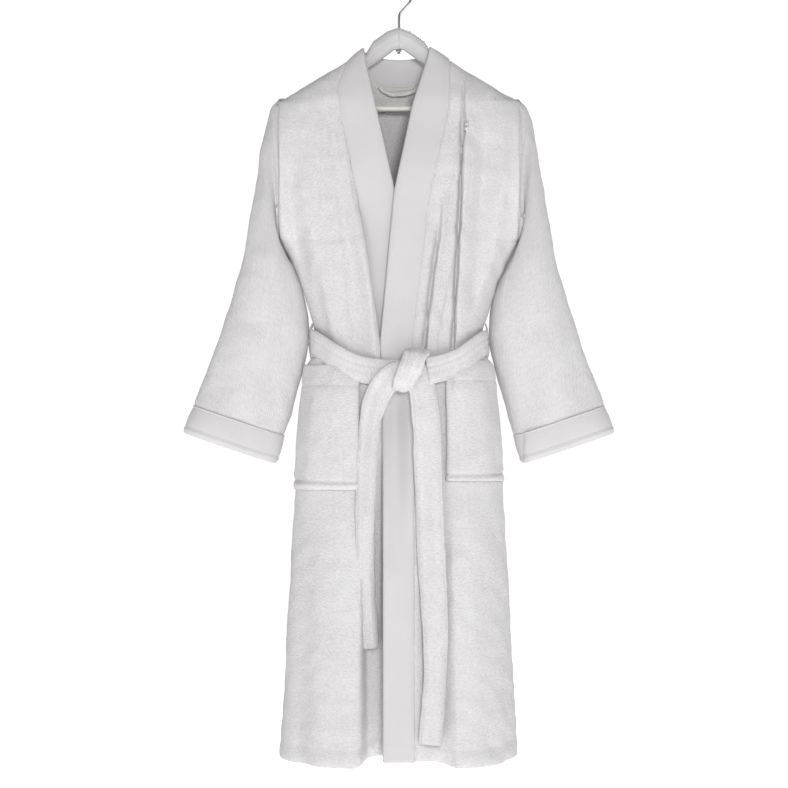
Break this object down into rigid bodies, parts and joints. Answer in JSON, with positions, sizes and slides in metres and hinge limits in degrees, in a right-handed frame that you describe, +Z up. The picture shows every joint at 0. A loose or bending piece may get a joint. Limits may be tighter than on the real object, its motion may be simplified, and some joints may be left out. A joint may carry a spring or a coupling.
{
  "type": "bathrobe on hanger",
  "caption": "Terry bathrobe with lapped fronts, velour collar band and cuffs, patch pockets and a tied belt, hung on a contour hanger with a swivel hook.",
  "frame": {"origin": "the point inside the hook's crown that rests on the rail", "axes": "+Z up, the robe's front faces -Y, +X towards the wearer's left sleeve"},
  "size_m": [0.743, 0.2288, 1.3198],
  "materials": {
    "terry": "looped cotton terry, off-white",
    "velour": "sheared cotton velour, off-white",
    "tape": "woven cotton tape",
    "hanger_white": "white, satin gloss",
    "bar_white": "cream, satin",
    "chrome": "polished chrome wire"
  },
  "bodies": {
    "hook": {"hook": "chrome", "hook_washer": "chrome"},
    "robe": {"trouser_bar": "bar_white", "right_hanger_half": "hanger_white", "left_hanger_half": "hanger_white", "back_panel": "terry", "back_neck_band": "velour", "right_front_bodice": "terry", "left_front_bodice": "terry", "right_collar_band": "velour", "left_collar_band": "velour", "belt_waist": "terry", "belt_knot": "terry", "right_belt_loop": "terry", "left_belt_loop": "terry", "hanging_loop": "tape", "neck_label": "tape"},
    "right_arm": {"right_sleeve": "terry", "right_cuff": "velour"},
    "left_arm": {"left_sleeve": "terry", "left_cuff": "velour"},
    "right_flap": {"right_front_skirt": "terry", "right_skirt_band": "velour", "right_pocket": "terry"},
    "left_flap": {"left_front_skirt": "terry", "left_skirt_band": "velour", "left_pocket": "terry"},
    "right_tail": {"right_belt_tail": "terry"},
    "left_tail": {"left_belt_tail": "terry"}
  },
  "joints": [
    {"name": "hook_swivel", "type": "hinge", "parent": "hook", "child": "robe", "pos_m": [0, 0, -0.06], "axis": [0, 0, 1], "continuous": true},
    {"name": "right_arm_raise", "type": "hinge", "parent": "robe", "child": "right_arm", "pos_m": [-0.2055, 0, -0.199], "axis": [0, 1, 0], "range_deg": [0, 20]},
    {"name": "left_arm_raise", "type": "hinge", "parent": "robe", "child": "left_arm", "pos_m": [0.2055, 0, -0.199], "axis": [0, -1, 0], "range_deg": [0, 20]},
    {"name": "left_flap_swing", "type": "hinge", "parent": "robe", "child": "left_flap", "pos_m": [0, -0.08, -0.642], "axis": [-1, 0, 0], "range_deg": [0, 25]},
    {"name": "right_flap_swing", "type": "hinge", "parent": "robe", "child": "right_flap", "pos_m": [0, -0.08, -0.642], "axis": [-1, 0, 0], "range_deg": [0, 25]},
    {"name": "right_tail_swing", "type": "hinge", "parent": "right_flap", "child": "right_tail", "pos_m": [-0.056, -0.105, -0.709], "axis": [-1, 0, 0], "range_deg": [0, 60]},
    {"name": "left_tail_swing", "type": "hinge", "parent": "left_flap", "child": "left_tail", "pos_m": [0.051, -0.105, -0.709], "axis": [-1, 0, 0], "range_deg": [0, 60]}
  ],
  "couplings": [
    {"joint": "right_flap_swing", "follows": "left_flap_swing", "ratio": 0.6}
  ]
}
